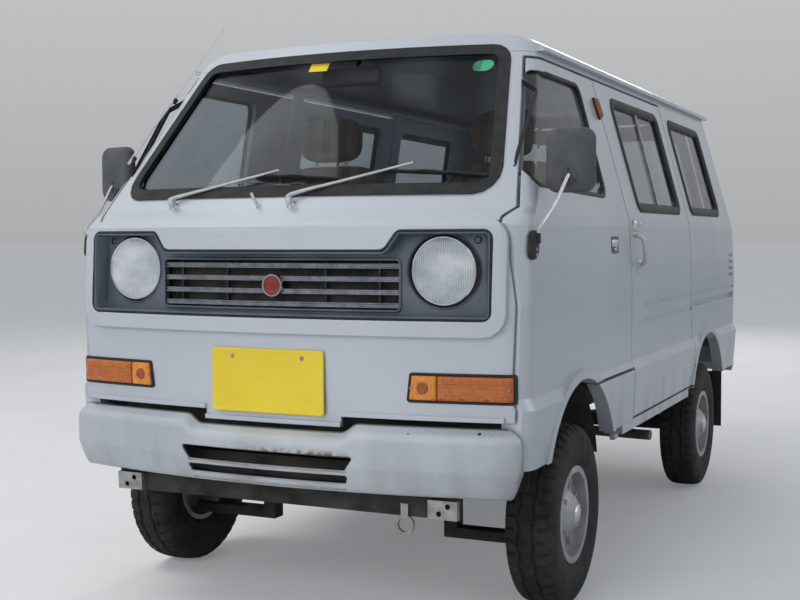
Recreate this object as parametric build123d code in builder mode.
"""Small cab-over van: four doors' worth of openings, a tailgate and four wheels.

Millimetres. The front faces -Y, +X is the vehicle's left side and +Z is up. The origin
is on the ground, halfway along the van and midway between its sides.
"""
from build123d import *
import os
from math import atan2, cos, hypot, pi, radians, sin

os.makedirs("parts", exist_ok=True)

# Driving dimensions
overall_length = 3195.0
overall_width = 1395.0
roof_top = 1645.0
wheelbase = 1820.0
front_overhang = 572.0
bumper_reach = 30.0
rear_bumper_reach = 62.0
track = 1224.0

# Body skin
door_wall = 40.0
frame_wall = 28.0
roof_wall = 25.0
gap = 8.0
fixed_gap = 0.3
corner_radius = 70.0
tight_radius = 12.0
corner_steps = 4
sill_z = 440.0
ledge_low_z = 600.0
ledge_top_z = 630.0
waist_z = 860.0
grille_top_z = 1060.0
crease_z = 1088.0
belt_z = 1106.0
gutter_z = 1545.0
shoulder_z = 1575.0
crown_z = 1595.0
ledge_step = 15.0
roof_camber = 55.0
roof_arch = 45.0

# Wheels
tyre_radius = 253.5
tyre_width = 138.0
rim_radius = 127.0
hub_radius = 62.0
spindle_radius = 20.0
spindle_clearance = 0.08
spindle_reach = 30.0
window_count = 8
arch_radius = 342.0
arch_rise = 38.0
flare_width = 26.0

# Steering
strut_top = (490.0, 640.0)
ball_joint = (560.0, 172.0)
steering_wheel_radius = 190.0

# Panels and glass
glass_thickness = 5.0
glass_depth = 8.0
gasket_width = 30.0
gasket_stand = 5.0
seal_gap = 0.3

half_width = overall_width / 2
far = overall_length
nose_datum = -overall_length / 2 + bumper_reach
rear_datum = overall_length / 2 - rear_bumper_reach
front_axle_y = -overall_length / 2 + front_overhang
rear_axle_y = front_axle_y + wheelbase


def aft(distance):
    """Y of a point this far behind the front panel's datum."""
    return nose_datum + distance


def save(piece, name):
    """Label one finished piece and write its file."""
    piece.label = name
    export_step(piece, f"parts/{name}.step")


# Body levels: height, half width, front face behind the nose datum, bow of the front
# towards the sides, rear face ahead of the rear datum, bow of the rear
side_half = half_width - ledge_step
body_levels = [
    (sill_z, half_width - 9, 24, 70, 18, 30),
    (ledge_low_z, half_width, 20, 74, 5, 30),
    (ledge_top_z, side_half, 18, 74, 3, 30),
    (waist_z, side_half + 3, 10, 78, 0, 30),
    (grille_top_z, side_half - 4, 22, 80, 28, 32),
    (crease_z, side_half - 8, 40, 96, 38, 34),
    (belt_z, side_half - 12, 57, 112, 42, 36),
    (gutter_z, 564, 425, 95, 160, 40),
    (shoulder_z, 549, 448, 92, 170, 42),
    (crown_z, 520, 464, 88, 182, 44),
    (roof_top + 20, 452, 540, 70, 240, 50),
]


def body_form(low_inset, high_inset, roof_drop):
    """Solid inside the body's skin, drawn in below and above the belt."""
    roof_reach = overall_length
    with BuildPart() as form:
        for height, half, front, bow, rear, rear_bow in body_levels:
            inset = low_inset if height < belt_z else high_inset
            foot = -2 * inset if height == sill_z else 0
            side = half - inset
            front_y = nose_datum + front + inset
            rear_y = rear_datum - rear - inset
            with BuildSketch(Plane.XY.offset(height + foot)) as outline:
                with BuildLine():
                    ThreePointArc((-side, front_y + bow), (0, front_y), (side, front_y + bow))
                    Line((side, front_y + bow), (side, rear_y - rear_bow))
                    ThreePointArc((side, rear_y - rear_bow), (0, rear_y), (-side, rear_y - rear_bow))
                    Line((-side, rear_y - rear_bow), (-side, front_y + bow))
                make_face()
                fillet(outline.vertices(), max(corner_radius - inset, tight_radius))
        loft(ruled=True)
        with BuildSketch(Plane.XZ):
            with BuildLine():
                crown = roof_top - roof_drop
                ThreePointArc((-520, crown - roof_camber), (0, crown), (520, crown - roof_camber))
                Polyline((520, crown - roof_camber), (900, crown - 3 * roof_camber), (900, 0),
                         (-900, 0), (-900, crown - 3 * roof_camber), (-520, crown - roof_camber))
            make_face()
        extrude(amount=roof_reach, both=True, mode=Mode.INTERSECT)
        with BuildSketch(Plane.YZ):
            with BuildLine():
                low = crown - roof_arch
                ThreePointArc((aft(464), low), (aft(1700), crown), (aft(2945), low))
                Polyline((aft(2945), low), (roof_reach, low - roof_arch), (roof_reach, 0),
                         (-roof_reach, 0), (-roof_reach, low - roof_arch), (aft(464), low))
            make_face()
        extrude(amount=roof_reach, both=True, mode=Mode.INTERSECT)
    return form.part


def rounded(points, radius):
    """Outline with every corner rounded off in short straight steps."""
    result = []
    for index, (u, v) in enumerate(points):
        before = points[index - 1]
        after = points[(index + 1) % len(points)]
        back_angle = atan2(before[1] - v, before[0] - u)
        on_angle = atan2(after[1] - v, after[0] - u)
        opening = (on_angle - back_angle + pi) % (2 * pi) - pi
        middle = back_angle + opening / 2
        centre_reach = radius / sin(abs(opening) / 2)
        centre = (u + centre_reach * cos(middle), v + centre_reach * sin(middle))
        turn = pi - abs(opening)
        for step in range(corner_steps + 1):
            share = (step / corner_steps - 0.5) * turn
            angle = middle + pi - share * (1 if opening > 0 else -1)
            result.append((centre[0] + radius * cos(angle), centre[1] + radius * sin(angle)))
    return result


def side_prism(points, near_x, far_x, grow=0.0, corner=0.0):
    """Block between two planes across the van, with an outline seen from the side."""
    with BuildPart() as prism:
        with BuildSketch(Plane.YZ.offset(near_x)):
            with BuildLine():
                Polyline(*(rounded(points, corner) if corner else points), close=True)
            make_face()
            if grow:
                offset(amount=grow, kind=Kind.INTERSECTION)
        extrude(amount=far_x - near_x)
    return prism.part


def front_prism(points, near_y, far_y, grow=0.0, corner=0.0):
    """Block between two planes along the van, with an outline seen from the front."""
    with BuildPart() as prism:
        with BuildSketch(Plane.XZ.offset(-near_y)):
            with BuildLine():
                Polyline(*(rounded(points, corner) if corner else points), close=True)
            make_face()
            if grow:
                offset(amount=grow, kind=Kind.INTERSECTION)
        extrude(amount=near_y - far_y)
    return prism.part


def across(radius, near_x, far_x, y, z):
    """Cylinder whose axis runs across the van."""
    with BuildPart() as bar:
        with BuildSketch(Plane.YZ.offset(near_x)):
            with Locations((y, z)):
                Circle(radius)
        extrude(amount=far_x - near_x)
    return bar.part


def block(low, high, radius=0.0):
    """Box between two corners, with its upright edges rounded."""
    with BuildPart() as box:
        with BuildSketch(Plane.XY.offset(low[2])) as base:
            with Locations(((low[0] + high[0]) / 2, (low[1] + high[1]) / 2)):
                Rectangle(high[0] - low[0], high[1] - low[1])
            if radius:
                fillet(base.vertices(), radius)
        extrude(amount=high[2] - low[2])
    return box.part


def layer(region, outer_inset, inner_inset):
    """Sheet inside a region that follows the body between two depths below its skin."""
    with BuildPart() as sheet:
        add(region)
        add(body_form(outer_inset, outer_inset, outer_inset), mode=Mode.INTERSECT)
        add(body_form(inner_inset, inner_inset, inner_inset), mode=Mode.SUBTRACT)
    return sheet.part


def rod(start, end, radius):
    """Round bar between two points."""
    along = Vector(*end) - Vector(*start)
    with BuildPart() as bar:
        with BuildSketch(Plane(origin=start, z_dir=along)):
            Circle(radius)
        extrude(amount=along.length)
    return bar.part


outer_form = body_form(0, 0, 0)
inner_form = body_form(door_wall, frame_wall, roof_wall)
arch_z = tyre_radius + arch_rise

# Side view outlines of the openings
door_front = 92.0
door_rear = 1132.0
door_rear_belt = 1116.0
door_rear_top = 1052.0
door_top_z = gutter_z - 18
door_foot_z = 446.0
panel_foot_z = 572.0
slide_rear = 2096.0
seam_bend_z = 1078.0
slide_rear_belt = 2040.0
slide_rear_top = 1972.0
pillar_foot = 112.0
pillar_head = 462.0

front_door_outline = [
    (aft(door_front), door_foot_z), (aft(door_front), crease_z - 15),
    (aft(pillar_foot), crease_z + 3), (aft(pillar_head), door_top_z),
    (aft(door_rear_top), door_top_z), (aft(door_rear_belt), seam_bend_z),
    (aft(door_rear), ledge_low_z + 6), (front_axle_y + 150, ledge_low_z + 6),
    (front_axle_y - 150, door_foot_z),
]
slide_door_outline = [
    (aft(door_rear), door_foot_z), (aft(door_rear_belt), seam_bend_z),
    (aft(door_rear_top), door_top_z), (aft(slide_rear_top), door_top_z),
    (aft(slide_rear_belt), seam_bend_z), (aft(slide_rear), door_foot_z),
]
# How far inboard a front door reaches, seen from the front
door_limit = [
    (half_width - door_wall - 45, 0), (half_width - door_wall - 45, crease_z - 8),
    (side_half - 12 - frame_wall - 6, belt_z), (564 - frame_wall - 4, gutter_z), (far, gutter_z), (far, 0),
]
pillar_rear = 560.0

# Side windows, seen from the side
window_sill_z = 1148.0
window_head_z = 1488.0
window_corner = 38.0
window_near = 525.0
door_window = [
    (aft(196), window_sill_z + 16), (aft(470), window_head_z), (aft(872), window_head_z),
    (aft(905), window_sill_z),
]
slide_window = [
    (aft(1276), window_sill_z - 30), (aft(1216), window_head_z - 10),
    (aft(1870), window_head_z - 10), (aft(1925), window_sill_z - 30),
]
quarter_window = [
    (aft(2128), window_sill_z - 28), (aft(2062), window_head_z - 10),
    (aft(2640), window_head_z - 14), (aft(2726), window_sill_z - 28),
]

# Windscreen and tailgate, seen from the front
screen_outline = [(-588, 1140), (588, 1140), (494, 1568), (-494, 1568)]
screen_corner = 58.0
tail_half = 560.0
tail_foot_z = 600.0
tail_outline = [
    (-tail_half, tail_foot_z), (tail_half, tail_foot_z), (tail_half, crease_z),
    (tail_half - 92, gutter_z - gap / 2), (-tail_half + 92, gutter_z - gap / 2), (-tail_half, crease_z),
]
tail_window = [(-500, 1150), (500, 1150), (430, 1470), (-430, 1470)]



def mirrored(piece):
    """The same piece on the other side of the van."""
    with BuildPart() as other:
        mirror(piece, about=Plane.YZ)
    return other.part


def door_region(grow):
    """Space that a front door takes in the body's skin."""
    with BuildPart() as region:
        add(side_prism(front_door_outline, window_near - 60, far, grow=grow))
        add(front_prism(door_limit, -far, far, grow=grow), mode=Mode.INTERSECT)
    return region.part


# Openings cut through the skin
screen_hole = front_prism(screen_outline, -far, 0, corner=screen_corner)
tail_hole = front_prism(tail_window, aft(2000), far, corner=window_corner)
door_hole, slide_hole, quarter_hole = (
    side_prism(outline, window_near, far, corner=window_corner)
    for outline in (door_window, slide_window, quarter_window)
)
door_cut = door_region(gap / 2)
front_arch, rear_arch = (
    across(arch_radius, 0, far, axle_y + 12, arch_z) for axle_y in (front_axle_y, rear_axle_y)
)


def flare(axle_y, near_x, far_x):
    """Raised lip round a wheel arch."""
    with BuildPart() as lip:
        add(across(arch_radius + flare_width, near_x, far_x, axle_y + 12, arch_z))
        add(across(arch_radius, near_x - 1, far_x + 1, axle_y + 12, arch_z), mode=Mode.SUBTRACT)
        add(block((near_x - 1, -far, 0), (far_x + 1, far, sill_z)), mode=Mode.SUBTRACT)
    return lip.part


def skin(region, holes=(), flared=()):
    """Panel of the body's skin inside a region, with its openings and arch lips."""
    with BuildPart() as panel:
        add(region)
        add(outer_form, mode=Mode.INTERSECT)
        add(inner_form, mode=Mode.SUBTRACT)
        for axle_y in flared:
            lip = flare(axle_y, half_width - door_wall, half_width)
            add(lip & region)
        for hole in holes:
            add(hole, mode=Mode.SUBTRACT)
    return panel.part


# Tailgate hinges stand just behind the roof's rear edge
hinge_x = (-310.0, 310.0)
hinge_y = rear_datum - 156.0
hinge_z = gutter_z - gap / 2
hinge_pin = 5.0
hinge_ring = 9.0
hinge_play = 0.1

# Roof panel, from the gutter up, with a rain gutter along each side
gutter_front = 545.0
gutter_rear = 2880.0
with BuildPart() as roof:
    add(skin(block((-far, -far, gutter_z + fixed_gap / 2), (far, far, 2 * gutter_z)), [screen_hole]))
    for x in hinge_x:
        add(block((x - 30, hinge_y - 8, hinge_z - 6), (x - 12, hinge_y + 7, hinge_z + 20)))
        add(block((x - 30, hinge_y - 36, hinge_z + 8), (x - 12, hinge_y + 7, hinge_z + 20)))
        add(across(hinge_pin, x - 13, x + 30, hinge_y, hinge_z))
    for side_sign in (-1, 1):
        gutter = [(552, gutter_z + 3), (580, gutter_z + 3), (580, gutter_z + 15), (576, gutter_z + 15),
                  (576, gutter_z + 8), (552, gutter_z + 8)]
        add(front_prism([(side_sign * x, z) for x, z in gutter], aft(gutter_front), aft(gutter_rear)))
save(roof.part, "roof")

# Front panel with the windscreen pillars
nose_half = 640.0
nose_proud = 18.0
nose_low_z = 782.0
nose_outline = [(-nose_half, nose_low_z), (nose_half, nose_low_z),
                (nose_half, grille_top_z + 20), (-nose_half, grille_top_z + 20)]

# Grille recess, seen from the front: lamp ends are taller than the middle
grille_half = 606.0
grille_low_z = 822.0
grille_mid_z = 1000.0
lamp_top_z = 1050.0
lamp_x = 469.0
lamp_z = 946.0
lamp_radius = 89.0
grille_outline = [
    (-grille_half, grille_low_z), (grille_half, grille_low_z), (grille_half, lamp_top_z),
    (lamp_x - 105, lamp_top_z), (lamp_x - 140, grille_mid_z), (-lamp_x + 140, grille_mid_z),
    (-lamp_x + 105, lamp_top_z), (-grille_half, lamp_top_z),
]
# Turn signals wrap round the panel's lower corners
signal_stand = 4.0
signal_depth = 24.0
signal_rear = 80.0
signal_outline = [(392, 640), (704, 640), (708, 690), (398, 690)]
signal_corner = 8.0

# Folded lip along the panel's foot, which drops behind the number plate
lip_half = 632.0
drop_half = 205.0
drop_z = 545.0
lip_height = 12.0
lip_stand = 8.0
with BuildPart() as front_panel:
    add(outer_form)
    add(block((-far, -far, panel_foot_z), (far, aft(pillar_rear), gutter_z - fixed_gap / 2)),
        mode=Mode.INTERSECT)
    add(outer_form.moved(Location((0, -nose_proud, 0)))
        & front_prism(nose_outline, -far, aft(140), corner=60))
    add(inner_form, mode=Mode.SUBTRACT)
    for low_x, high_x, low_z in ((-lip_half, -drop_half, panel_foot_z), (-drop_half, drop_half, drop_z),
                                 (drop_half, lip_half, panel_foot_z)):
        add(layer(block((low_x, -far, low_z), (high_x, aft(160), low_z + lip_height)), -lip_stand, 10))
    add(layer(block((-drop_half, -far, drop_z), (drop_half, aft(100), panel_foot_z + 1)), 0, 10))
    for hole in (screen_hole, door_cut, mirrored(door_cut)):
        add(hole, mode=Mode.SUBTRACT)
    add(front_prism(grille_outline, -far, 0, corner=24), mode=Mode.SUBTRACT)
    signal_hole = front_prism(signal_outline, -far, aft(signal_rear + seal_gap), grow=seal_gap,
                              corner=signal_corner)
    add(signal_hole, mode=Mode.SUBTRACT)
    add(mirrored(signal_hole), mode=Mode.SUBTRACT)
save(front_panel.part, "front_panel")

with BuildPart() as signals:
    add(layer(front_prism(signal_outline, -far, aft(signal_rear), corner=signal_corner),
              -signal_stand, signal_depth))
    mirror(about=Plane.YZ)
save(signals.part, "front_signals")


def panel_grille():
    """Recessed grille panel with its lamp bezels and a dark slot opening."""
    slot_half = 352.0
    rim = 6.0
    face_y = nose_datum + 22
    with BuildPart() as grille:
        add(front_prism(grille_outline, face_y, face_y + 14, grow=-1.0, corner=24))
        slot = [(-slot_half, 846), (slot_half, 846), (slot_half, grille_mid_z - 14),
                (-slot_half, grille_mid_z - 14)]
        add(front_prism([(-slot_half - rim, 846 - rim), (slot_half + rim, 846 - rim),
                         (slot_half + rim, grille_mid_z - 14 + rim), (-slot_half - rim, grille_mid_z - 14 + rim)],
                        face_y - rim, face_y + 1, corner=10 + rim))
        add(front_prism(slot, face_y - 20, face_y + 20, corner=10), mode=Mode.SUBTRACT)
        with BuildSketch(Plane.XZ.offset(-face_y + rim + 2)):
            with Locations((-lamp_x, lamp_z), (lamp_x, lamp_z)):
                Circle(lamp_radius + 3 * rim / 2)
        extrude(amount=-rim - 4)
        with BuildSketch(Plane.XZ.offset(-face_y + 20)):
            with Locations((-lamp_x, lamp_z), (lamp_x, lamp_z)):
                Circle(lamp_radius + seal_gap)
        extrude(amount=-60, mode=Mode.SUBTRACT)
    return grille.part


save(panel_grille(), "grille_panel")

# Grille bars, each with a groove along its face, and a plain disc in the middle
bar_low_z = 862.0
bar_pitch = 33.0
bar_half = 352.0 - seal_gap
bar_height = 14.0
disc_radius = 30.0
with BuildPart() as grille_bars:
    bar_front = nose_datum + 9
    for index in range(4):
        z = bar_low_z + index * bar_pitch
        add(side_prism([(bar_front, z - bar_height / 2), (bar_front + 14, z - bar_height / 2),
                        (bar_front + 14, z + bar_height / 2), (bar_front, z + bar_height / 2),
                        (bar_front, z + 2.5), (bar_front + 5, z), (bar_front, z - 2.5)],
                       -bar_half, bar_half))
    with BuildSketch(Plane.XZ.offset(-bar_front - 6)):
        with Locations((0, bar_low_z + 1.3 * bar_pitch)):
            Circle(disc_radius)
    extrude(amount=12)
    with BuildSketch(Plane.XY.offset(bar_low_z - 10)):
        with Locations((-220, nose_datum + 26), (0, nose_datum + 26), (220, nose_datum + 26)):
            Rectangle(12, 8)
    extrude(amount=3 * bar_pitch + 20)
save(grille_bars.part, "grille_bars")

# Headlamps: a rim and a domed lens
lamp_depth = 50.0
with BuildPart() as headlamps:
    with BuildSketch(Plane.XZ.offset(-nose_datum - 30)):
        with Locations((-lamp_x, lamp_z), (lamp_x, lamp_z)):
            Circle(lamp_radius)
    extrude(amount=-lamp_depth)
    with BuildSketch(Plane.XZ.offset(-nose_datum - 30)):
        with Locations((-lamp_x, lamp_z), (lamp_x, lamp_z)):
            Circle(lamp_radius - 8)
    extrude(amount=10, taper=35)
    with BuildSketch(Plane.XZ.offset(-nose_datum - 20)):
        with Locations((-lamp_x, lamp_z), (lamp_x, lamp_z)):
            Circle(lamp_radius - 16)
    extrude(amount=8, taper=60)
save(headlamps.part, "headlamps")

# Doors, cut from the skin inside their seams
handle_y = 930.0
handle_z = 1004.0
handle_pocket = block((half_width - 34, aft(handle_y) - 46, handle_z - 26),
                      (far, aft(handle_y) + 46, handle_z + 26))
front_door = skin(door_region(-gap / 2), [door_hole, front_arch, handle_pocket], [front_axle_y])
save(front_door, "front_door_left")
save(mirrored(front_door), "front_door_right")


# Pressed grooves along the side, the sliding door's rail slot and the air vents behind it:
# height, start, end, width and depth
groove_face = side_half + 2
side_grooves = [
    block((groove_face - depth, aft(start), z - width / 2), (far, aft(end), z + width / 2))
    for z, start, end, width, depth in (
        (803, 1277, 2990, 12, 5), (749, 1278, 2075, 12, 5), (765, 2112, 2990, 22, 14),
        (858, 2862, 2968, 12, 9), (886, 2862, 2968, 12, 9), (914, 2862, 2968, 12, 9), (942, 2862, 2968, 12, 9),
    )
]
sliding_door = skin(side_prism(slide_door_outline, window_near, far, grow=-gap / 2),
                    [slide_hole, rear_arch] + side_grooves[:2], [rear_axle_y])
save(sliding_door, "sliding_door_left")
save(mirrored(sliding_door), "sliding_door_right")

# Tail lamps, in the rear corners
tail_lamp_outline = [(592, 690), (656, 690), (656, 850), (592, 850)]
tail_lamp_corner = 10.0
tail_lamp_front = 2900.0
tail_lamp_hole = front_prism(tail_lamp_outline, aft(tail_lamp_front), far, grow=seal_gap,
                             corner=tail_lamp_corner)
with BuildPart() as tail_lamps:
    add(layer(front_prism(tail_lamp_outline, aft(tail_lamp_front), far, corner=tail_lamp_corner),
              -signal_stand - 4, signal_depth))
    mirror(about=Plane.YZ)
save(tail_lamps.part, "tail_lamps")

# Fixed sides: cant rail, sill, centre post, rear quarter and rear corner
post_half = 24.0
sill_inner = half_width - door_wall - 33
load_z = 560.0
post_inset = 7.0
post_depth = 16.0
with BuildPart() as post:
    add(body_form(door_wall + post_inset, door_wall + post_inset, roof_wall))
    add(body_form(door_wall + post_inset + post_depth, door_wall + post_inset + post_depth,
                  roof_wall + post_depth), mode=Mode.SUBTRACT)
    add(block((0, aft(door_rear_belt - 20) - post_half, sill_z - 60),
              (far, aft(door_rear_belt - 20) + post_half, gutter_z - fixed_gap / 2)),
        mode=Mode.INTERSECT)
with BuildPart() as rail:
    add(body_form(0, 0, 0))
    add(body_form(door_wall + post_inset + post_depth, door_wall + post_inset + post_depth,
                  roof_wall), mode=Mode.SUBTRACT)
    add(block((window_near - 60, aft(pillar_rear), door_top_z + gap / 2),
              (far, aft(2840), gutter_z - fixed_gap / 2)), mode=Mode.INTERSECT)
side_region = block((window_near - 60, -far, 0), (far, far, gutter_z - fixed_gap / 2))
side_holes = (
    block((0, -far, panel_foot_z - fixed_gap), (far, aft(pillar_rear) + fixed_gap, gutter_z)),
    door_cut,
    side_prism(slide_door_outline, 0, far, grow=gap / 2),
    front_prism(tail_outline, aft(2000), far, grow=gap / 2),
    block((0, aft(2500), 0), (tail_half + gap / 2, far, tail_foot_z)),
    block((0, -far, 0), (far, front_axle_y, panel_foot_z + 1)),
)
with BuildPart() as side:
    add(skin(side_region, [quarter_hole, front_arch, rear_arch, tail_lamp_hole] + side_grooves,
             [front_axle_y, rear_axle_y]))
    add(rail.part)
    for hole in side_holes:
        add(hole, mode=Mode.SUBTRACT)
    add(post.part)
    add(block((sill_inner, aft(1010), sill_z - 30), (half_width - 12, aft(2010), door_foot_z - gap / 2)))
    add(block((sill_inner, aft(1010), sill_z - 30), (sill_inner + 11, aft(2010), load_z - fixed_gap)))
    for y in (1300, 1900):
        add(block((sill_inner + 20, aft(y), sill_z), (sill_inner + 45, aft(y) + 40, door_foot_z + gap / 2 - fixed_gap)))
save(side.part, "side_left")
save(mirrored(side.part), "side_right")

flap_top_z = sill_z - 0.3

# Rear: tailgate and valance
with BuildPart() as tailgate:
    add(skin(front_prism(tail_outline, aft(2800), far, grow=-gap / 2), [tail_hole]))
    for x in hinge_x:
        add(block((x - 10, hinge_y - 26, hinge_z - 20), (x + 28, hinge_y, hinge_z - gap / 2)))
        add(across(hinge_ring, x - 10, x + 28, hinge_y, hinge_z))
        add(across(hinge_pin + hinge_play, x - 11, x + 29, hinge_y, hinge_z), mode=Mode.SUBTRACT)
save(tailgate.part, "tailgate")
valance_half = tail_half + gap / 2 - fixed_gap
rear_valance = skin(block((-valance_half, aft(2800), 0), (valance_half, far, tail_foot_z - gap / 2)))
save(rear_valance, "rear_valance")

# Glass
with BuildPart() as glass_shell:
    add(body_form(glass_depth, glass_depth, glass_depth))
    add(body_form(glass_depth + glass_thickness, glass_depth + glass_thickness,
                  glass_depth + glass_thickness), mode=Mode.SUBTRACT)
with BuildPart() as gasket_shell:
    add(body_form(-gasket_stand, -gasket_stand, -gasket_stand))
    add(body_form(roof_wall - 1, roof_wall - 1, roof_wall - 1), mode=Mode.SUBTRACT)
with BuildPart() as screen_gasket:
    add(gasket_shell.part)
    add(front_prism(screen_outline, -far, 0, grow=-seal_gap, corner=screen_corner),
        mode=Mode.INTERSECT)
    add(front_prism(screen_outline, -far, 0, grow=-gasket_width, corner=screen_corner),
        mode=Mode.SUBTRACT)
save(screen_gasket.part, "windscreen_gasket")
with BuildPart() as windscreen:
    add(glass_shell.part)
    add(front_prism(screen_outline, -far, 0, grow=-gasket_width - seal_gap, corner=screen_corner),
        mode=Mode.INTERSECT)
save(windscreen.part, "windscreen")
with BuildPart() as door_glass:
    add(glass_shell.part)
    add(side_prism(door_window, window_near, far, grow=-seal_gap, corner=window_corner),
        mode=Mode.INTERSECT)
    add(door_cut, mode=Mode.INTERSECT)
save(door_glass.part, "door_glass_left")
save(mirrored(door_glass.part), "door_glass_right")
with BuildPart() as side_glass:
    for outline in (slide_window, quarter_window):
        add(side_prism(outline, window_near, far, grow=-seal_gap, corner=window_corner))
    add(glass_shell.part, mode=Mode.INTERSECT)
    mirror(about=Plane.YZ)
save(side_glass.part, "side_glass")
with BuildPart() as tailgate_glass:
    add(glass_shell.part)
    add(front_prism(tail_window, aft(2000), far, grow=-seal_gap, corner=window_corner),
        mode=Mode.INTERSECT)
save(tailgate_glass.part, "tailgate_glass")

# Floor: footwell, seat box over the engine and front wheels, load floor, wheel boxes
floor_t = 15.0
well_z = 455.0
seat_box_z = 655.0
inner_half = sill_inner - fixed_gap
well_half = 392.0
floor_front = 72.0
door_sweep = 605.0
box_front = 330.0
box_rear = 1068.0
with BuildPart() as floor:
    profile = [
        (aft(floor_front), well_z + floor_t), (aft(box_front), well_z + floor_t),
        (aft(box_front), seat_box_z), (aft(box_rear), seat_box_z), (aft(box_rear), load_z),
        (aft(3040), load_z), (aft(3040), load_z - floor_t), (aft(box_rear) - floor_t, load_z - floor_t),
        (aft(box_rear) - floor_t, seat_box_z - floor_t), (aft(box_front) + floor_t, seat_box_z - floor_t),
        (aft(box_front) + floor_t, well_z), (aft(floor_front), well_z),
    ]
    add(side_prism(profile, -inner_half, inner_half))
    rear_well = (rear_axle_y + 12 - arch_radius - floor_t, rear_axle_y + 12 + arch_radius + floor_t)
    for side_sign in (-1, 1):
        low_x, high_x = sorted((side_sign * 512, side_sign * inner_half))
        add(block((low_x, rear_well[0], load_z - floor_t), (high_x, rear_well[1], arch_z + arch_radius + 12)))
        hollow_low, hollow_high = sorted((side_sign * (512 + floor_t), side_sign * (inner_half + 1)))
        add(block((hollow_low, rear_well[0] + floor_t, 0),
                  (hollow_high, rear_well[1] - floor_t, arch_z + arch_radius)), mode=Mode.SUBTRACT)
        well_low, well_high = sorted((side_sign * well_half, side_sign * (inner_half + 1)))
        sweep_low, sweep_high = sorted((side_sign * door_sweep, side_sign * far))
        add(block((sweep_low, -far, 0), (sweep_high, aft(190), far)), mode=Mode.SUBTRACT)
        add(block((well_low, front_axle_y + 12 - arch_radius + 20, 0),
                  (well_high, front_axle_y + 12 + arch_radius, seat_box_z - floor_t)), mode=Mode.SUBTRACT)
    add(body_form(door_wall + 6, door_wall + 6, roof_wall), mode=Mode.INTERSECT)
save(floor.part, "floor_pan")

# Bulkhead between the nose and the footwell
bulkhead_depth = door_wall + 12
bulkhead_t = 6.0
bulkhead = layer(block((-600, -far, well_z + floor_t + fixed_gap), (600, aft(200), grille_top_z + 2)),
                 bulkhead_depth, bulkhead_depth + bulkhead_t)
save(bulkhead, "bulkhead")

# Chassis frame
rail_x = 305.0
rail_w = 50.0
rail_low_z = 375.0
rail_high_z = well_z - fixed_gap
frame_front = 70.0
engine_half = 195.0
frame_rear = 3026.0
cross_members = [frame_front + 30, 1120.0, 1960.0, frame_rear - 40]
with BuildPart() as frame:
    for side_sign in (-1, 1):
        x = side_sign * rail_x
        add(block((x - rail_w / 2, aft(frame_front), rail_low_z),
                  (x + rail_w / 2, aft(frame_rear), rail_high_z)))
    for y in cross_members:
        add(block((-rail_x, aft(y) - 30, rail_low_z + 5), (rail_x, aft(y) + 30, rail_high_z - 5)))
    for side_sign in (-1, 1):
        x = side_sign * rail_x
        for y in (1300, 1750, 2250, 2900):
            add(block((x - 20, aft(y), rail_high_z - 1), (x + 20, aft(y) + 60, load_z - floor_t - fixed_gap)))
        for y in (700, 960):
            low_x, high_x = sorted((side_sign * (engine_half + fixed_gap), x))
            add(block((low_x, aft(y) - 20, rail_low_z + 10), (high_x, aft(y) + 20, rail_low_z + 50)))
save(frame.part, "chassis_frame")

# Engine, under the seat box
engine_low_z = 220.0
engine_rear = 1040.0
with BuildPart() as engine:
    add(block((-engine_half, aft(620), engine_low_z), (engine_half, aft(engine_rear), 612), radius=30))
save(engine.part, "engine")

# Wheels
def tyre_at(x, y):
    """Tyre, turned about the wheel's own axis."""
    half = tyre_width / 2
    bead = rim_radius + seal_gap
    section = [(0.72 * half, bead), (half, (bead + tyre_radius) / 2), (0.8 * half, tyre_radius)]
    with BuildPart() as tyre:
        with BuildSketch(Plane.XZ.offset(-y)):
            with BuildLine():
                Polyline(*[(x + reach, tyre_radius + radius) for reach, radius in section],
                         *[(x - reach, tyre_radius + radius) for reach, radius in reversed(section)],
                         close=True)
            make_face()
        revolve(axis=Axis((x, y, tyre_radius), (1, 0, 0)))
    return tyre.part


def rim_at(x, y, outward):
    """Pressed wheel with ventilation windows, ribs between them and a conical hub."""
    half = 0.72 * tyre_width / 2
    section = [  # outward of the wheel's middle, radius
        (-half, rim_radius), (half + 7, rim_radius), (half + 7, rim_radius + 9), (half + 11, rim_radius + 9),
        (half + 11, rim_radius - 9), (26, rim_radius - 9), (26, 80), (44, hub_radius), (68, 34), (68, 0),
        (spindle_reach + 1, 0), (spindle_reach + 1, spindle_radius + spindle_clearance),
        (-20, spindle_radius + spindle_clearance), (-20, hub_radius - 10), (20, hub_radius - 10),
        (20, rim_radius - 15), (-half, rim_radius - 15),
    ]
    window = [(84, -13), (108, -17), (108, 17), (84, 13)]
    with BuildPart() as rim:
        with BuildSketch(Plane.XZ.offset(-y)):
            with BuildLine():
                Polyline(*[(x + outward * reach, tyre_radius + radius) for reach, radius in section],
                         close=True)
            make_face()
        revolve(axis=Axis((x, y, tyre_radius), (1, 0, 0)))
        with BuildSketch(Plane(origin=(x - 60, y, tyre_radius), x_dir=(0, 1, 0), z_dir=(1, 0, 0))):
            with PolarLocations(0, window_count):
                with BuildLine():
                    Polyline(*window, close=True)
                make_face()
        extrude(amount=120, mode=Mode.SUBTRACT)
        with BuildSketch(Plane(origin=(x + outward * 26, y, tyre_radius), x_dir=(0, 1, 0), z_dir=(outward, 0, 0))):
            with PolarLocations(0, window_count, start_angle=180 / window_count):
                with Locations((84, 0)):
                    Rectangle(40, 9)
        extrude(amount=12)
    return rim.part


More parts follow.
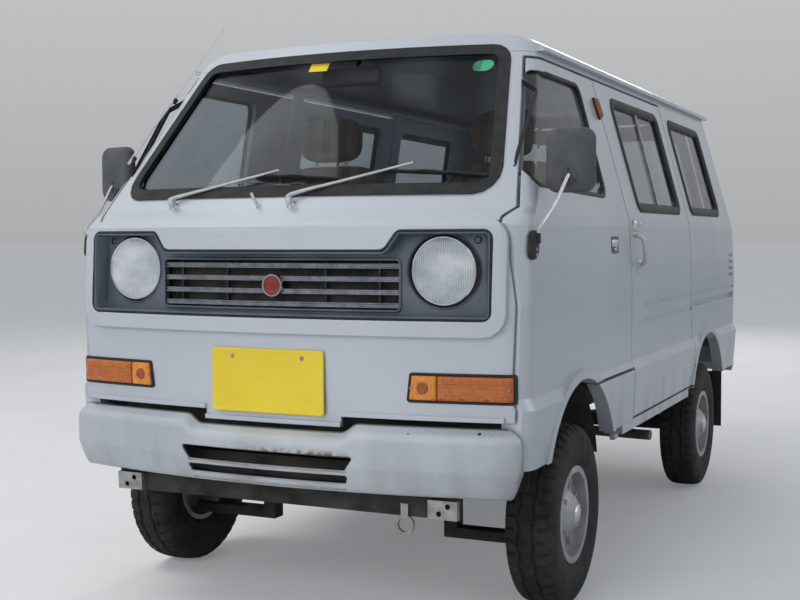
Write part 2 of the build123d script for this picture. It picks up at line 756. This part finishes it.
wheel_x = track / 2
for side_name, side_sign in (("left", 1), ("right", -1)):
    for end_name, axle_y in (("front", front_axle_y), ("rear", rear_axle_y)):
        save(tyre_at(side_sign * wheel_x, axle_y), f"tyre_{end_name}_{side_name}")
        save(rim_at(side_sign * wheel_x, axle_y, side_sign), f"rim_{end_name}_{side_name}")

# Steering knuckles: spindle, upright, strut tube, and a stud at each end of the steering axis
knuckle_rise = 6.0
arm_half = 15.0
stud_gap = 2.6
tube_foot = (508.0, tyre_radius + 40)
kingpin_rise = strut_top[1] - ball_joint[1]


def on_kingpin(z):
    """Point of the left steering axis at a height."""
    share = (z - ball_joint[1]) / kingpin_rise
    return (ball_joint[0] + share * (strut_top[0] - ball_joint[0]), front_axle_y, z)


with BuildPart() as knuckle:
    upright_low = ball_joint[1] + arm_half + knuckle_rise
    add(across(spindle_radius, 540, wheel_x + spindle_reach, front_axle_y, tyre_radius))
    add(block((490, front_axle_y - 30, upright_low), (548, front_axle_y + 30, tyre_radius + 60), radius=8))
    add(block((520, front_axle_y - 22, upright_low), (575, front_axle_y + 22, upright_low + 24), radius=8))
    tube_top = on_kingpin(strut_top[1] - 28)
    add(rod((tube_foot[0], front_axle_y, tube_foot[1]), tube_top, 25))
    add(rod(on_kingpin(strut_top[1] - 60), on_kingpin(strut_top[1] - stud_gap), 14))
    add(rod(on_kingpin(ball_joint[1] + arm_half + stud_gap / 2), on_kingpin(upright_low + 10), 8))
save(knuckle.part, "knuckle_left")
save(mirrored(knuckle.part), "knuckle_right")

# Front suspension: cross member, lower arms and strut towers
with BuildPart() as suspension:
    add(block((-rail_x - 20, front_axle_y - 40, 270), (rail_x + 20, front_axle_y + 40, rail_low_z - seal_gap)))
    for side_sign in (-1, 1):
        arm_low, arm_high = sorted((side_sign * 300, side_sign * 575))
        add(block((arm_low, front_axle_y - 25, ball_joint[1] - 15),
                  (arm_high, front_axle_y + 25, ball_joint[1] + arm_half - seal_gap), radius=8))
        link_low, link_high = sorted((side_sign * 285, side_sign * 325))
        add(block((link_low, front_axle_y - 25, ball_joint[1] - 15), (link_high, front_axle_y + 25, 280)))
save(suspension.part, "front_suspension")

# Rear axle and leaf springs
housing_radius = 95.0
with BuildPart() as rear_axle:
    add(across(32, -530, 530, rear_axle_y, tyre_radius))
    add(across(spindle_radius, -wheel_x - spindle_reach, wheel_x + spindle_reach, rear_axle_y, tyre_radius))
    with BuildSketch(Plane.XZ.offset(-rear_axle_y)):
        with BuildLine():
            Polyline((-95, tyre_radius), (-95, tyre_radius + 34), (-60, tyre_radius + 78),
                     (-24, tyre_radius + housing_radius), (24, tyre_radius + housing_radius),
                     (60, tyre_radius + 78), (95, tyre_radius + 34), (95, tyre_radius), close=True)
        make_face()
    revolve(axis=Axis((0, rear_axle_y, tyre_radius), (1, 0, 0)))
save(rear_axle.part, "rear_axle")

# Propeller shaft, from the engine to the axle's housing
with BuildPart() as propshaft:
    add(rod((0, aft(engine_rear) + seal_gap, tyre_radius),
            (0, rear_axle_y - housing_radius - seal_gap, tyre_radius), 25))
save(propshaft.part, "propshaft")

# Leaf springs, hung from the frame and clamped on the axle
spring_half = 520.0
leaf_t = 8.0
pad_top = tyre_radius + 34
with BuildPart() as springs:
    for side_sign in (-1, 1):
        x = side_sign * rail_x
        for index, reach in enumerate((spring_half, spring_half * 0.75, spring_half * 0.5)):
            bottom = pad_top + (2 - index) * leaf_t
            rise = (reach / spring_half) ** 2 * (rail_low_z - pad_top - 3 * leaf_t - 12)
            with BuildSketch(Plane.YZ.offset(x - 25)):
                with BuildLine():
                    ThreePointArc((rear_axle_y - reach, bottom + rise), (rear_axle_y, bottom),
                                  (rear_axle_y + reach, bottom + rise))
                    Line((rear_axle_y + reach, bottom + rise), (rear_axle_y + reach, bottom + rise + leaf_t))
                    ThreePointArc((rear_axle_y + reach, bottom + rise + leaf_t), (rear_axle_y, bottom + leaf_t),
                                  (rear_axle_y - reach, bottom + rise + leaf_t))
                    Line((rear_axle_y - reach, bottom + rise + leaf_t), (rear_axle_y - reach, bottom + rise))
                make_face()
            extrude(amount=50)
        add(block((x - 30, rear_axle_y - 45, pad_top - 1.7), (x + 30, rear_axle_y + 45, pad_top + 3 * leaf_t + 6)))
        for end in (-1, 1):
            y = rear_axle_y + end * (spring_half - 12)
            add(block((x - 22, y - 14, rail_low_z - 30), (x + 22, y + 14, rail_low_z - seal_gap)))
save(springs.part, "leaf_springs")

# Bumpers
def bumper_bar(half, sections, mid_y, corner_y, end_y):
    """Pressed bumper, lofted up its height table, with its ends turned along the body."""
    back = 1 if end_y > mid_y else -1
    with BuildPart() as bar:
        for height, stand in sections:
            arc_half = half - 32 - stand
            inner_half_arc = half - 47 - stand
            arc_y = corner_y - back * (28 - stand)
            with BuildSketch(Plane.XY.offset(height)):
                with BuildLine():
                    ThreePointArc((-arc_half, arc_y), (0, mid_y + back * stand), (arc_half, arc_y))
                    Polyline((arc_half, arc_y), (half - stand, corner_y), (half - stand, end_y),
                             (half - stand - 24, end_y), (inner_half_arc, corner_y - back * 6))
                    ThreePointArc((inner_half_arc, corner_y - back * 6), (0, mid_y + back * bumper_t),
                                  (-inner_half_arc, corner_y - back * 6))
                    Polyline((-inner_half_arc, corner_y - back * 6), (-half + stand + 24, end_y),
                             (-half + stand, end_y), (-half + stand, corner_y), (-arc_half, arc_y))
                make_face()
        loft(ruled=True)
    return bar.part


bumper_t = 25.0
bumper_half = 687.0
bumper_low_z = 383.0
bumper_crease_z = 430.0
bumper_top_z = 552.0
bumper_drop_z = 514.0
front_sections = [(bumper_low_z, 12), (bumper_crease_z, 0), (bumper_top_z - 22, 0), (bumper_top_z, 14)]
front_outline = [
    (-bumper_half - 1, 450), (-590, bumper_low_z - 1), (590, bumper_low_z - 1), (bumper_half + 1, 450),
    (bumper_half + 1, bumper_top_z + 1), (262, bumper_top_z + 1), (drop_half + 4, bumper_drop_z),
    (-drop_half - 4, bumper_drop_z), (-262, bumper_top_z + 1), (-bumper_half - 1, bumper_top_z + 1),
]
upper_slot = [(-246, 432), (246, 432), (262, 474), (-262, 474)]
lower_slot = [(-214, 392), (214, 392), (240, 424), (-240, 424)]
with BuildPart() as front_bumper:
    add(bumper_bar(bumper_half, front_sections, -overall_length / 2, nose_datum + 80, nose_datum + 86))
    add(front_prism(front_outline, -far, 0), mode=Mode.INTERSECT)
    for slot in (upper_slot, lower_slot):
        add(front_prism(slot, -far, 0, corner=7), mode=Mode.SUBTRACT)
    for side_sign in (-1, 1):
        low_x, high_x = sorted((side_sign * 262, side_sign * 350))
        add(block((low_x, -overall_length / 2 + 24, 392), (high_x, aft(frame_front) - seal_gap, 428)))
save(front_bumper.part, "front_bumper")

rear_sections = [(400, 8), (430, 0), (500, 0), (520, 10)]
with BuildPart() as rear_bumper:
    add(bumper_bar(bumper_half - 17, rear_sections, overall_length / 2, rear_datum + 12, rear_datum + 4))
    for side_sign in (-1, 1):
        low_x, high_x = sorted((side_sign * 270, side_sign * 330))
        add(block((low_x, aft(frame_rear) + seal_gap, 402), (high_x, overall_length / 2 - 24, 432)))
save(rear_bumper.part, "rear_bumper")

# Apron under the bumper, on the frame's front ends, with tie-down brackets and a towing eye
apron_half = 520.0
apron_y = aft(frame_front) - seal_gap
apron_t = 8.0
apron_low_z = 322.0
with BuildPart() as apron:
    add(block((-apron_half, apron_y - apron_t, apron_low_z), (apron_half, apron_y, 391)))
save(apron.part, "apron")

bracket_x = 478.0
bracket_half = 40.0
bracket_y = aft(46)
bracket_t = 5.0
bolt_radius = 7.0
eye_x = 370.0
eye_z = 300.0
eye_radius = 18.0
eye_wire = 8.0
hold_y = apron_y - apron_t - fixed_gap
with BuildPart() as brackets:
    for side_sign in (-1, 1):
        x = side_sign * bracket_x
        add(block((x - bracket_half, bracket_y, 324), (x + bracket_half, bracket_y + bracket_t, 372)))
        for edge in (-1, 1):
            edge_x = x + edge * (bracket_half - bracket_t / 2)
            add(block((edge_x - bracket_t / 2, bracket_y, 324), (edge_x + bracket_t / 2, hold_y, 372)))
        with BuildSketch(Plane.XZ.offset(-bracket_y + 1)):
            with Locations((x - 10, 338), (x + 14, 358)):
                Circle(bolt_radius)
        extrude(amount=-bracket_t - 2, mode=Mode.SUBTRACT)
    with BuildSketch(Plane.XZ.offset(-hold_y)):
        with Locations((eye_x, eye_z)):
            Circle(eye_radius + eye_wire)
        with Locations((eye_x, eye_z + 35)):
            Rectangle(20, 40)
        with Locations((eye_x, eye_z)):
            Circle(eye_radius, mode=Mode.SUBTRACT)
    extrude(amount=eye_wire)
save(brackets.part, "tow_brackets")

# Fuel tank, hung under the right frame rail
with BuildPart() as tank:
    add(block((-rail_x - 5, aft(1180), 265), (-45, aft(1720), rail_low_z - seal_gap), radius=35))
save(tank.part, "fuel_tank")

# Exhaust: pipe, silencer and an outlet under the left sill
exhaust_x = 150.0
exhaust_z = 310.0
outlet_y = aft(1700)
with BuildPart() as exhaust:
    add(rod((exhaust_x, aft(engine_rear) + seal_gap, exhaust_z), (exhaust_x, aft(1260), exhaust_z), 18))
    add(rod((exhaust_x, aft(1250), exhaust_z), (exhaust_x, aft(1640), exhaust_z), 58))
    add(rod((exhaust_x, aft(1630), exhaust_z), (exhaust_x, outlet_y, exhaust_z), 18))
    with Locations((exhaust_x, outlet_y, exhaust_z)):
        Sphere(18)
    add(rod((exhaust_x, outlet_y, exhaust_z), (625, outlet_y - 60, exhaust_z), 18))
save(exhaust.part, "exhaust")

# Mud flaps behind the rear wheels, hung from the sides
with BuildPart() as flaps:
    for side_sign in (-1, 1):
        low_x, high_x = sorted((side_sign * 560, side_sign * (half_width - 6)))
        add(block((low_x, rear_axle_y + 318, 200), (high_x, rear_axle_y + 324, flap_top_z)))
save(flaps.part, "mud_flaps")

# Seats
seat_gap = 0.3
with BuildPart() as front_seats:
    for side_sign in (-1, 1):
        low_x, high_x = sorted((side_sign * 90, side_sign * 560))
        add(block((low_x, aft(520), seat_box_z + seat_gap), (high_x, aft(980), seat_box_z + 130), radius=40))
        add(block((low_x + 10, aft(900), seat_box_z + 100), (high_x - 10, aft(1010), 1290), radius=30))
        add(block((low_x + 110, aft(925), 1289), (high_x - 110, aft(1000), 1440), radius=30))
save(front_seats.part, "front_seats")

with BuildPart() as rear_seat:
    add(block((-560, aft(1560), load_z + seat_gap), (560, aft(2000), load_z + 300), radius=40))
    add(block((-550, aft(1920), load_z + 260), (550, aft(2015), 1120), radius=30))
save(rear_seat.part, "rear_seat")

# Dashboard and steering column
with BuildPart() as dashboard:
    dash = [(aft(92), 850), (aft(300), 850), (aft(330), 900), (aft(330), 1010), (aft(290), 1060), (aft(92), 1080)]
    add(side_prism(dash, -600, 600))
    dash_inset = bulkhead_depth + bulkhead_t + seal_gap
    add(body_form(dash_inset, frame_wall + seal_gap, roof_wall), mode=Mode.INTERSECT)
save(dashboard.part, "dashboard")

wheel_centre = (-330.0, aft(470), 1045.0)
column_tilt = 38.0
column_dir = (0, sin(radians(column_tilt)), cos(radians(column_tilt)))
with BuildPart() as steering_wheel:
    with BuildSketch(Plane(origin=wheel_centre, x_dir=(1, 0, 0), z_dir=column_dir)):
        Circle(steering_wheel_radius)
        Circle(steering_wheel_radius - 22, mode=Mode.SUBTRACT)
        Circle(45)
        Rectangle(2 * steering_wheel_radius - 20, 24)
    extrude(amount=22)
save(steering_wheel.part, "steering_wheel")

with BuildPart() as column:
    with BuildSketch(Plane(origin=wheel_centre, x_dir=(1, 0, 0), z_dir=column_dir).offset(-seal_gap)):
        Circle(24)
    extrude(amount=-195)
save(column.part, "steering_column")

# Door mirrors: foot, arm and head
mirror_foot = (684.0, 139.0, 1012.0)
mirror_head = (736.0, 285.0, 1226.0)
mirror_width = 116.0
mirror_height = 172.0
with BuildPart() as side_mirror:
    foot_x, foot_y, foot_z = mirror_foot
    head_x, head_y, head_z = mirror_head
    add(layer(block((0, aft(foot_y) - 22, foot_z - 32), (far, aft(foot_y) + 22, foot_z + 32)), -14, -seal_gap))
    add(rod((foot_x + 4, aft(foot_y), foot_z + 10), (head_x, aft(head_y), head_z - 20), 6))
    with BuildSketch(Plane.XZ.offset(-aft(head_y) + 12)):
        with Locations((head_x, head_z)):
            RectangleRounded(mirror_width, mirror_height, 32)
    extrude(amount=-24)
    with BuildSketch(Plane.XZ.offset(-aft(head_y) + 12)):
        with Locations((head_x, head_z)):
            RectangleRounded(mirror_width, mirror_height, 32)
    extrude(amount=14, taper=40)
save(side_mirror.part, "mirror_left")
save(mirrored(side_mirror.part), "mirror_right")
